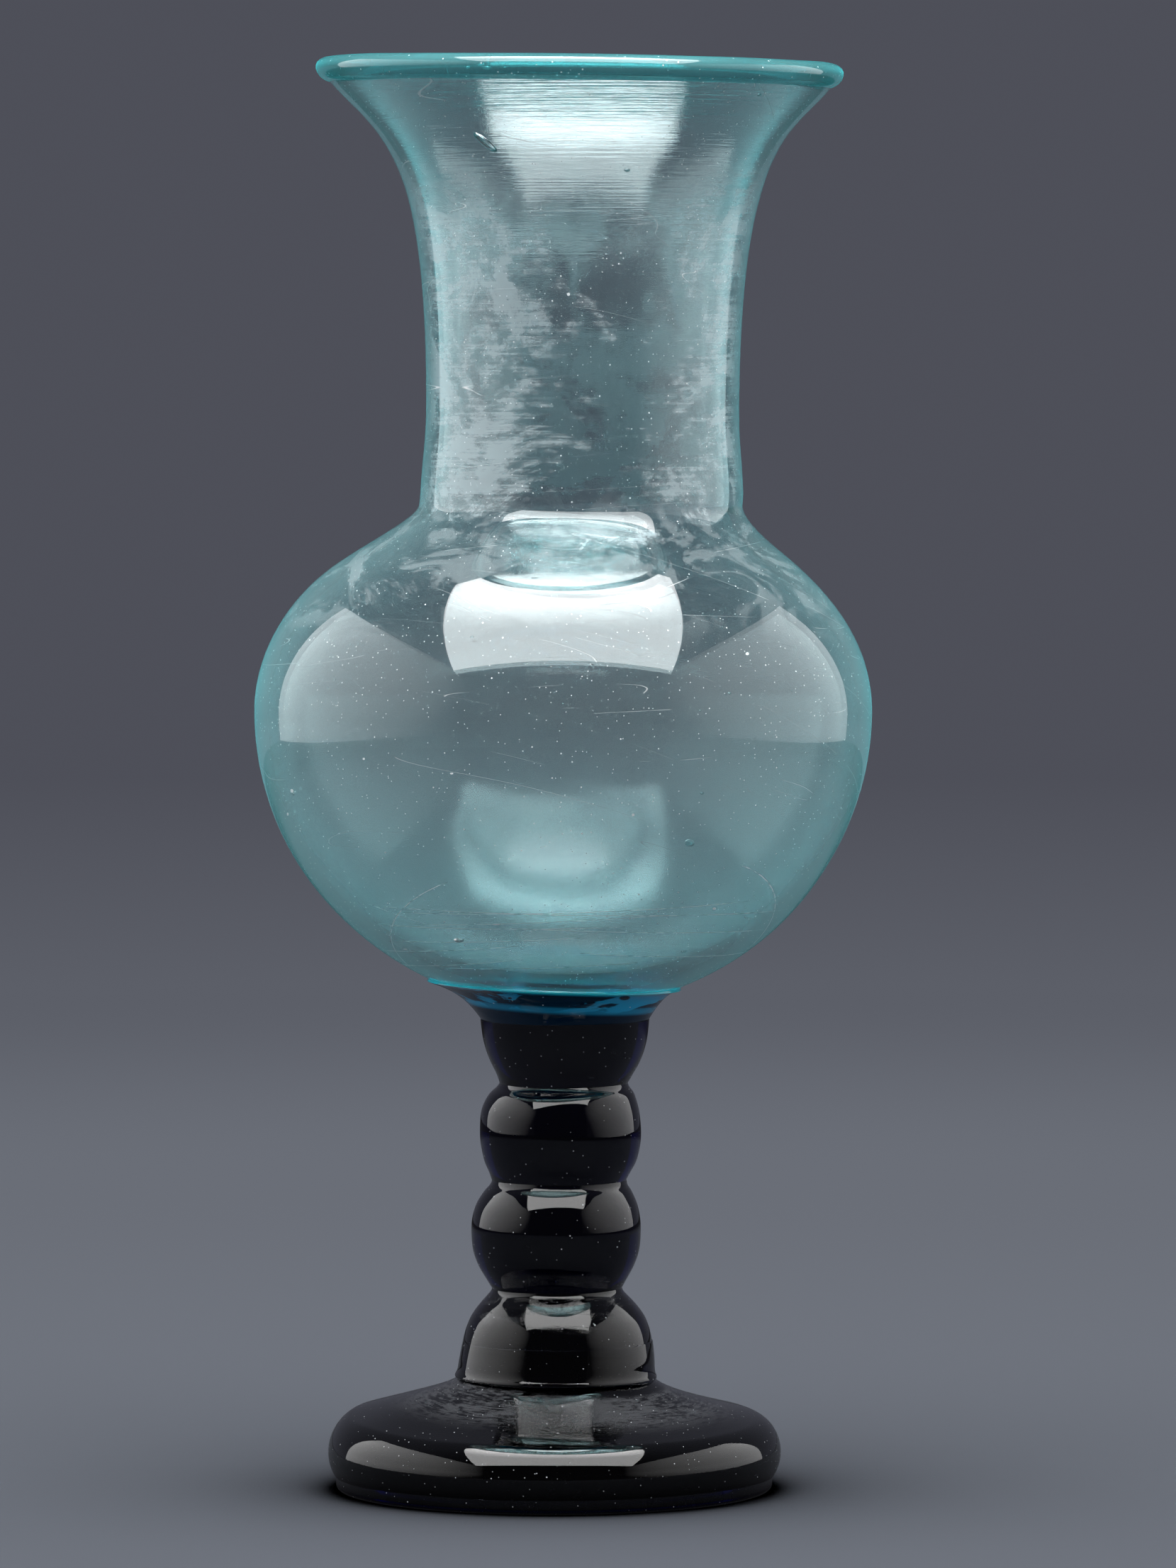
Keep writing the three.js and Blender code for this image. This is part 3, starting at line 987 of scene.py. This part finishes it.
def softbox(name, box, brightness, spread):
    """A rectangular lamp that looks as bright as said, with a brighter spot."""
    place, turn, size = box
    spot, counted, reach, far, near = spread
    lamp = bpy.data.lights.new(name, "AREA")
    lamp.shape = "RECTANGLE"
    lamp.size, lamp.size_y = size
    lamp.energy = brightness * math.pi * size[0] * size[1]
    lamp.use_nodes = True
    tree = lamp.node_tree
    across = add_node(tree, "NewGeometry").outputs["Parametric"]
    away = add_node(tree, "VectorMath", {0: across, 1: spot}, operation="SUBTRACT").outputs[0]
    away = add_node(tree, "VectorMath", {0: away, 1: counted}, operation="MULTIPLY").outputs[0]
    away = add_node(tree, "VectorMath", {0: away}, operation="LENGTH").outputs["Value"]
    falls = {"Value": away, "From Min": reach, "From Max": 0, "To Min": far, "To Max": near}
    level = add_node(tree, "MapRange", falls).outputs["Result"]
    tree.links.new(level, tree.nodes["Emission"].inputs["Strength"])
    lit = bpy.data.objects.new(name, lamp)
    lit.location = place
    lit.rotation_euler = [math.radians(angle) for angle in turn]
    bpy.context.scene.collection.objects.link(lit)


def camera(scene):
    """The photograph's viewpoint: in front, a little over the belly, looking slightly down a long lens."""
    eye = bpy.data.objects.new("camera", bpy.data.cameras.new("camera"))
    eye.location = EYE
    eye.rotation_euler = (AIM - EYE).to_track_quat("-Z", "Y").to_euler()
    eye.data.lens = LENS
    eye.data.sensor_width = SENSOR
    scene.collection.objects.link(eye)
    scene.camera = eye


class VASE_OT_stage(bpy.types.Operator):
    """Sets the floor and backdrop, the soft lamps and the camera"""

    bl_idname = "vase.stage"
    bl_label = "Floor, lamps and camera"

    def execute(self, context):
        stage = context.scene.vase_stage
        floor(stage)
        world(context.scene, stage)
        softbox("softbox_left", LEFT_BOX, stage.softbox, LEFT_SPREAD)
        softbox("softbox_right", RIGHT_BOX, stage.softbox * RIGHT_SHARE, RIGHT_SPREAD)
        softbox("softbox_top", TOP_BOX, stage.top_softbox, TOP_SPREAD)
        camera(context.scene)
        context.scene.view_settings.view_transform = "Standard"
        return {"FINISHED"}


# Bowl

# Its sizes in mm. The belly's depth is from the bottom to the widest place, and each rise is from there
BOWL_FLOOR_RADIUS = 12
BELLY_DEPTH = 50.75
BELLY_RISE = 38.25
SHOULDER_RADIUS = 39
SHOULDER_BEND = 5
NECK_FOOT_RADIUS = 28.2
NECK_FOOT_RISE = 36
NECK_FOOT_BEND = 2.25
NECK_RISE = 52.5
NECK_BEND = 6
FLARE_BEND = 49
MOUTH_RISE = 110.25
MOUTH_BEND = 12.5
MOUTH_ANGLE = math.radians(52)
MOUTH_WALL = 2.5
BOTTOM_WALL = 4
LIP_WIDTH = 6.2


def underside_rise(belly):
    """Half the height of the ellipse that the bowl's lower half follows."""
    return BELLY_DEPTH / math.sqrt(1 - (BOWL_FLOOR_RADIUS / belly) ** 2)


def bowl_underside(belly):
    """The bowl's outside from its flat bottom to its widest place."""
    floor_angle = math.acos(BOWL_FLOOR_RADIUS / belly)
    return arc((0, BELLY_DEPTH), belly, underside_rise(belly), -floor_angle, 0, LONG_STEPS)


def bowl_side(belly, neck, mouth_outer):
    """The bowl's outside from its widest place to the mouth: shoulder, neck and flare."""
    neck_foot = BELLY_DEPTH + NECK_FOOT_RISE
    waist = BELLY_DEPTH + NECK_RISE
    mouth = BELLY_DEPTH + MOUTH_RISE
    turn = math.acos(SHOULDER_RADIUS / belly)
    upper = arc((0, BELLY_DEPTH), belly, BELLY_RISE, 0, turn, LONG_STEPS)
    start = Vector(upper[-1])
    along = Vector((-belly * math.sin(turn), BELLY_RISE * math.cos(turn))).normalized() * SHOULDER_BEND
    shoulder = bend(
        SHORT_STEPS,
        start,
        start + along,
        (NECK_FOOT_RADIUS, neck_foot - NECK_FOOT_BEND),
        (NECK_FOOT_RADIUS, neck_foot),
    )
    tube = bend(
        SHORT_STEPS,
        (NECK_FOOT_RADIUS, neck_foot),
        (NECK_FOOT_RADIUS, neck_foot + NECK_BEND),
        (neck, waist - NECK_BEND),
        (neck, waist),
    )
    flare = bend(
        LONG_STEPS,
        (neck, waist),
        (neck, waist + FLARE_BEND),
        (mouth_outer - MOUTH_BEND * math.cos(MOUTH_ANGLE), mouth - MOUTH_BEND * math.sin(MOUTH_ANGLE)),
        (mouth_outer, mouth),
    )
    return upper + shoulder[1:] + tube[1:] + flare[1:]


def bowl_outline(sizes):
    """The bowl's outside from the axis to the mouth, its inside back, and pairs of points across the wall."""
    belly = sizes.belly_radius / MM
    wall = sizes.belly_wall / MM
    mouth_width = MOUTH_WALL / math.sin(MOUTH_ANGLE)
    mouth_outer = sizes.lip_radius / MM - LIP_WIDTH / 2 + mouth_width / 2
    under = bowl_underside(belly)
    side = bowl_side(belly, sizes.neck_radius / MM, mouth_outer)
    inside = inset(side, lambda share: wall + (MOUTH_WALL - wall) * share)
    hollow = inset(under, lambda share: wall + (BOTTOM_WALL - wall) * (1 - share) ** 4)[::-1]
    last = hollow[-1]
    level_part = bend(6, last, (last[0] * 0.6, BOTTOM_WALL), (last[0] * 0.3, BOTTOM_WALL), (0, BOTTOM_WALL))
    hollow = [(belly - wall, BELLY_DEPTH)] + hollow + level_part[1:]
    outer = [(0, 0)] + under + side[1:]
    inner = [(mouth_outer - mouth_width, BELLY_DEPTH + MOUTH_RISE)] + inside[::-1] + hollow
    pairs = list(zip(side[1:-1], inside)) + list(zip(under[::-1], hollow))
    return outer, inner, pairs


def mark_inside(bowl):
    """Marks the corners of the bowl's inner face with an attribute of 1."""
    marks = bowl.data.attributes.new("inside", "FLOAT", "POINT")
    for corner, normal, mark in zip(bowl.data.vertices, bowl.data.vertex_normals, marks.data):
        inwards = -(corner.co.x * normal.vector.x + corner.co.y * normal.vector.y)
        mark.value = float(inwards > 0 or math.hypot(corner.co.x, corner.co.y) < 0.5 * MM)


# The bubbles that stand out, as bubble_place takes them: radius, level, degrees round, lengths, lean and turn
BOWL_BUBBLES = (
    (33.6, 235.2, -119.3, (5.2, 2.0, 1.7), 33, 49),
    (49.8, 123.6, -155.1, (1.3, 0.7, 0.9), -12, 0),
    (47.0, 116.2, -63.1, (1.9, 0.6, 1.5), -22, 0),
    (37.0, 98.6, -119.3, (2.1, 0.7, 1.1), -41, 5),
    (33.2, 96.7, -52.1, (1.3, 0.7, 1.0), -45, 0),
)


def bubble_place(radius, level, around, lengths, lean=0, turn=0):
    """A bubble at a radius and level in mm and so many degrees round. Its lengths are round the vase, through
    the wall and up it. The wall leans out by some degrees, and the bubble is turned in it by some more."""
    angle = math.radians(around)
    centre = Vector((radius * math.cos(angle), radius * math.sin(angle), level)) * MM
    directions = Matrix.Rotation(angle + math.pi / 2, 3, "Z") @ Matrix.Rotation(math.radians(lean), 3, "X")
    directions = directions @ Matrix.Rotation(math.radians(turn), 3, "Y")
    return centre, [length * MM for length in lengths], directions


def bowl_seeds(rng, wall, count):
    """Places for the bowl's seeds: mostly tiny, drawn out a little round the vase."""
    weights = [outer[0] for outer, inner in wall]
    for outer, inner in rng.choices(wall, weights, k=count):
        share = rng.uniform(0.3, 0.7)
        radius = outer[0] + (inner[0] - outer[0]) * share
        level = LEVELS["bowl"] + outer[1] + (inner[1] - outer[1]) * share
        size = 0.18 + 0.4 * rng.random() ** 4
        yield bubble_place(radius, level, rng.uniform(0, 360), (size * rng.uniform(1, 1.8), size, size))


class VASE_OT_bowl(bpy.types.Operator):
    """Blows the aqua bowl, with its wall, its bubbles and its mineral film"""

    bl_idname = "vase.bowl"
    bl_label = "Bowl"

    def execute(self, context):
        sizes = context.scene.vase_sizes
        outer, inner, wall = bowl_outline(sizes)
        bowl = turned("blown_bowl", outer + inner, LEVELS["bowl"])
        bubbles = list(bowl_seeds(random.Random(7), wall, sizes.seeds))
        bubbles += [bubble_place(*row) for row in BOWL_BUBBLES]
        add_bubbles(bowl, bubbles)
        worked(bowl, unevenness=0.14, size=45, seed=3)
        mark_inside(bowl)
        finished(bowl, ["bowl"], aqua_glass(context.scene.vase_glass))
        return {"FINISHED"}


# Lip

# The lip's round side, as (radius in from the widest place, height over the mouth), in mm
LIP_SIDE = (
    (-2.35, -1.05),
    (-1.7, -0.85),
    (-0.85, -0.3),
    (-0.25, 0.5),
    (0, 1.45),
    (-0.25, 2.25),
    (-0.9, 2.85),
    (-1.9, 3.2),
    (-3.1, 3.3),
    (-4.3, 3.15),
    (-5.3, 2.7),
    (-5.95, 2.0),
    (-6.15, 1.25),
    (-5.9, 0.55),
    (-5.2, 0.05),
    (-4.7, 0),
)

# Where the roll lies on the mouth's edge and on the side under it
LIP_SEAM = ((-1.57, 0), (-2.4, -1.05))


def lip_outline(radius):
    """A round roll that is drawn down a little over the outside of the mouth."""
    return [(radius + inward, height) for inward, height in through(LIP_SIDE) + list(LIP_SEAM)]


# The lip's bubbles, as the bowl's
LIP_BUBBLES = (
    (43.4, 248.6, -110.7, (1.4, 1.0, 1.9)),
    (44.3, 247.6, -110.7, (1.6, 0.8, 0.6)),
    (43.6, 249.3, -104.4, (1.4, 0.8, 0.6)),
    (44.2, 247.7, -106.5, (0.8, 0.6, 0.5)),
    (44.0, 247.7, -115.3, (1.0, 0.6, 0.5)),
    (43.0, 249.6, -128, (1.2, 0.7, 0.5)),
    (43.4, 249.4, -94.5, (1.3, 0.6, 0.6)),
)


class VASE_OT_lip(bpy.types.Operator):
    """Lays the thread of glass round the lip"""

    bl_idname = "vase.lip"
    bl_label = "Lip thread"

    def execute(self, context):
        roll = lip_outline(context.scene.vase_sizes.lip_radius / MM)
        level = LEVELS["bowl"] + BELLY_DEPTH + MOUTH_RISE - FUSE
        lip = turned("lip_roll", roll + roll[:1], level)
        add_bubbles(lip, [bubble_place(*row) for row in LIP_BUBBLES])
        worked(lip, unevenness=0.2, size=20, seed=5)
        finished(lip, ["lip_thread"], lip_glass(context.scene.vase_glass), angle=60)
        return {"FINISHED"}


# Seat

# Its sizes in mm
SEAT_FLOOR = 3.25
SEAT_ROOT_RADIUS = 14.6
SEAT_ROOT_RISE = 2.1
SEAT_ROOT_FLARE = 1.4
SEAT_RADIUS = 22.25
SEAT_EDGE = 0.5
SEAT_LIP_REACH = 4
SEAT_LIP_DROP = 0.7

# How far the dish's wing is turned about the belly's centre
SEAT_TURN = math.radians(2.2)


def seat_outline(belly):
    """The dish: root, flared outside, thin edge, and an inside that follows the bowl."""
    rise = underside_rise(belly)

    def inside_at(radius):
        return SEAT_FLOOR + BELLY_DEPTH - rise * math.sqrt(1 - (radius / belly) ** 2) + 2 * FUSE

    inner = SEAT_RADIUS - SEAT_EDGE
    edge = inside_at(inner)
    outside = bend(
        LONG_STEPS,
        (SEAT_ROOT_RADIUS, 0),
        (SEAT_ROOT_RADIUS + SEAT_ROOT_FLARE, SEAT_ROOT_RISE),
        (SEAT_RADIUS - SEAT_LIP_REACH, edge - SEAT_EDGE - SEAT_LIP_DROP),
        (SEAT_RADIUS, edge - SEAT_EDGE),
    )
    rim = arc((inner, edge - SEAT_EDGE), SEAT_EDGE, SEAT_EDGE, 0, math.pi / 2, 6)
    floor_height = SEAT_FLOOR + 2 * FUSE
    inside = []
    for step in range(1, SHORT_STEPS + 1):
        radius = inner + (BOWL_FLOOR_RADIUS - inner) * step / SHORT_STEPS
        inside.append((radius, max(inside_at(radius), floor_height)))
    return [(0, 0)] + outside + rim[1:] + inside + [(0, floor_height)]


def tilt_seat(seat):
    """Turns the dish's wing about the belly's centre, so that it rides up one side of the bowl."""
    centre = Vector((0, 0, (LEVELS["bowl"] + BELLY_DEPTH) * MM))
    for corner in seat.data.vertices:
        radius = math.hypot(corner.co.x, corner.co.y) / MM
        share = (radius - BOWL_FLOOR_RADIUS) / (SEAT_RADIUS - BOWL_FLOOR_RADIUS)
        turn = Matrix.Rotation(SEAT_TURN * min(max(share, 0), 1) ** 3, 3, "Y")
        corner.co = centre + turn @ (corner.co - centre)


class VASE_OT_seat(bpy.types.Operator):
    """Makes the turquoise dish that wraps the bottom of the bowl"""

    bl_idname = "vase.seat"
    bl_label = "Bowl seat"

    def execute(self, context):
        outline = seat_outline(context.scene.vase_sizes.belly_radius / MM)
        cup_height = KNOPS["cup"][-1][1]
        seat = turned("bowl_dish", outline, LEVELS["cup_knop"] + cup_height - FUSE)
        tilt_seat(seat)
        worked(seat, unevenness=0.2, size=9, seed=11)
        glass = turquoise_glass(context.scene.vase_glass)
        finished(seat, ["bowl_seat"], glass, angle=60)
        return {"FINISHED"}


# Stem

# How much the smears on the lowest knop cover
SMEAR_WEIGHT = 0.10

# Outlines of the knops, as (radius, height) in mm. Each has a short waist below the crease over it
KNOPS = {
    "dome": (
        "dome_knop",
        (16.58, 0),
        (16.35, 1.1),
        (15.9, 2.6),
        (15.1, 4.4),
        (13.75, 6.3),
        (12.3, 7.9),
        (11.6, 8.7),
        (11.35, 9.25),
    ),
    "lower_ball": (
        "lower_ball_knop",
        (11.3, 0),
        (12.2, 1.5),
        (13.6, 4.0),
        (14.55, 6.7),
        (14.85, 9.8),
        (14.75, 12.2),
        (14.1, 14.8),
        (12.95, 17.0),
        (12.05, 18.2),
        (11.75, 19),
    ),
    "upper_ball": (
        "upper_ball_knop",
        (11.75, 0),
        (12.4, 1.4),
        (13.35, 3.4),
        (14.0, 6.4),
        (14.1, 9.2),
        (13.75, 12.4),
        (12.75, 15.0),
        (11.65, 16.3),
        (11.2, 17),
    ),
    "cup": (
        "cup_knop",
        (11.15, 0),
        (11.95, 1.7),
        (12.95, 3.6),
        (13.8, 5.8),
        (14.4, 8.3),
        (14.75, 11.25),
    ),
}


def knops():
    """Outlines of the knops, closed to the axis, with the node that each stands for."""
    outlines = {}
    for name, (node, *side) in KNOPS.items():
        height = side[-1][1]
        drawn = through([(side[0][0], -FUSE), *side[1:-1], (side[-1][0], height + FUSE)])
        outlines[name] = ([(0, -FUSE)] + drawn + [(0, height + FUSE)], node)
    return outlines


class VASE_OT_stem(bpy.types.Operator):
    """Stacks the four cobalt knops of the stem"""

    bl_idname = "vase.stem"
    bl_label = "Stem knops"

    def execute(self, context):
        glass = cobalt_glass(context.scene.vase_glass, "stem_cobalt", stem_wear, SMEAR_WEIGHT)
        for name, (outline, node) in knops().items():
            knop = turned(name, outline, LEVELS[node])
            worked(knop, unevenness=0.22, size=14, seed=LEVELS[node])
            finished(knop, [node], glass)
        return {"FINISHED"}


# Foot

# Sizes of the foot and of the ring under it, in mm and radians
FOOT_HEIGHT = 17
FOOT_RADIUS = 39.75
FOOT_RIM_WIDTH = 6
FOOT_RIM_LEVEL = 4
FOOT_RIM_RISE = 6.8
FOOT_RIM_END = math.radians(68)
FOOT_SLOPE = math.radians(15)
FOOT_SLOPE_REACH = 7.3
FOOT_TOP_RADIUS = 17.25
FOOT_FILLET = 2.2
FOOT_FILLET_DROP = 2.3
FOOT_HOLLOW = 1.5
RING_RADIUS = 38.25
RING_HOLE = 29.75
RING_HEIGHT = 2.5
RING_EDGE = 1

# The droop of the foot's upper side to the front: how steep it is, the height where it starts, and over what
# rise it sets in
FOOT_LEAN = 0.034
LEAN_START = 3
LEAN_RISE = 3

# How much the foot's rubbed slope covers
RUBBED_WEIGHT = 0.18

# The collar's side, as (radius, height) in mm: a bead at its foot, and then a side that draws in a little
COLLAR_SIDE = (
    (17.45, -0.06),
    (17.7, 0.2),
    (17.65, 0.6),
    (17.42, 1.1),
    (17.25, 1.8),
    (17.1, 3.2),
    (16.92, 4.6),
    (16.78, 5.6),
    (16.68, 6.2),
    (16.62, 6.56),
)


def collar_outline():
    """The collar, closed to the axis."""
    return [(0, -FUSE)] + through(COLLAR_SIDE) + [(0, COLLAR_SIDE[-1][1])]


def foot_outline():
    """A low cone with a fat rounded rim, hollowed underneath."""
    middle = RING_HOLE / 2
    hollow = bend(SHORT_STEPS, (0, FOOT_HOLLOW), (middle, FOOT_HOLLOW), (middle, 0), (RING_HOLE, 0))
    centre = (FOOT_RADIUS - FOOT_RIM_WIDTH, FOOT_RIM_LEVEL)
    rim_start = -math.asin(FOOT_RIM_LEVEL / FOOT_RIM_RISE)
    rim = arc(centre, FOOT_RIM_WIDTH, FOOT_RIM_RISE, rim_start, FOOT_RIM_END, LONG_STEPS)
    radius, height = rim[-1]
    slope = bend(
        LONG_STEPS,
        (radius, height),
        (radius - FOOT_SLOPE_REACH, height + FOOT_SLOPE_REACH * math.tan(FOOT_SLOPE)),
        (FOOT_TOP_RADIUS + FOOT_FILLET, FOOT_HEIGHT - FOOT_FILLET_DROP),
        (FOOT_TOP_RADIUS, FOOT_HEIGHT),
    )
    return hollow + rim + slope[1:] + [(0, FOOT_HEIGHT)]


def lean_foot(foot):
    """Lets the foot's upper side droop a little to the front."""
    for corner in foot.data.vertices:
        height = corner.co.z / MM - LEVELS["foot"]
        share = min(max((height - LEAN_START) / LEAN_RISE, 0), 1)
        corner.co.z += FOOT_LEAN * corner.co.y * share


def ring_outline():
    """A flat ring with a rounded lower edge."""
    top = RING_HEIGHT + FUSE
    edge = arc((RING_RADIUS - RING_EDGE, RING_EDGE), RING_EDGE, RING_EDGE, -math.pi / 2, 0, 8)
    return [(RING_HOLE, 0)] + edge + [(RING_RADIUS, top), (RING_HOLE, top), (RING_HOLE, 0)]


class VASE_OT_foot(bpy.types.Operator):
    """Makes the collar, the foot and the ring that the vase stands on"""

    bl_idname = "vase.foot"
    bl_label = "Collar, foot and ring"

    def execute(self, context):
        colours = context.scene.vase_glass
        glass = cobalt_glass(colours, "collar_cobalt", stem_wear, SMEAR_WEIGHT)
        collar = turned("collar", collar_outline(), LEVELS["foot_collar"])
        worked(collar, unevenness=0.4, size=12, seed=17)
        finished(collar, ["foot_collar"], glass)
        glass = cobalt_glass(colours, "foot_cobalt", foot_wear, RUBBED_WEIGHT)
        foot = turned("worn_foot", foot_outline(), LEVELS["foot"])
        lean_foot(foot)
        worked(foot, unevenness=0.3, size=22, seed=19)
        finished(foot, ["foot"], glass)
        ring = turned("standing_ring", ring_outline(), LEVELS["foot_ring"])
        worked(ring, unevenness=0, size=20, seed=23)
        finished(ring, ["foot_ring"], glass)
        return {"FINISHED"}


class VASE_PT_panel(bpy.types.Panel):
    """The vase's sizes, colours and steps"""

    bl_idname = "VASE_PT_panel"
    bl_label = "Blown glass vase"
    bl_space_type = "VIEW_3D"
    bl_region_type = "UI"
    bl_category = "Vase"

    def draw(self, context):
        column = self.layout.column()
        for group in (context.scene.vase_sizes, context.scene.vase_glass, context.scene.vase_stage):
            for name in group.bl_rna.properties.keys():
                if name not in ("rna_type", "name"):
                    column.prop(group, name)
        for operator in OPERATORS:
            column.operator(operator.bl_idname)


GROUPS = {"vase_sizes": VaseSizes, "vase_glass": VaseGlass, "vase_stage": VaseStage}
OPERATORS = (VASE_OT_stage, VASE_OT_bowl, VASE_OT_lip, VASE_OT_seat, VASE_OT_stem, VASE_OT_foot)


def register():
    """Registers the groups, the operators and the panel."""
    for name, group in GROUPS.items():
        bpy.utils.register_class(group)
        setattr(bpy.types.Scene, name, bpy.props.PointerProperty(type=group))
    for kind in (*OPERATORS, VASE_PT_panel):
        bpy.utils.register_class(kind)


def unregister():
    """Takes off what register put on."""
    for kind in (VASE_PT_panel, *reversed(OPERATORS)):
        bpy.utils.unregister_class(kind)
    for name, group in GROUPS.items():
        delattr(bpy.types.Scene, name)
        bpy.utils.unregister_class(group)


def main():
    """Makes the stage and the vase."""
    register()
    bpy.ops.vase.stage()
    bpy.ops.vase.foot()
    bpy.ops.vase.stem()
    bpy.ops.vase.seat()
    bpy.ops.vase.bowl()
    bpy.ops.vase.lip()
    bpy.data.objects.remove(bpy.data.objects["centre_cage"])


if __name__ == "__main__":
    main()
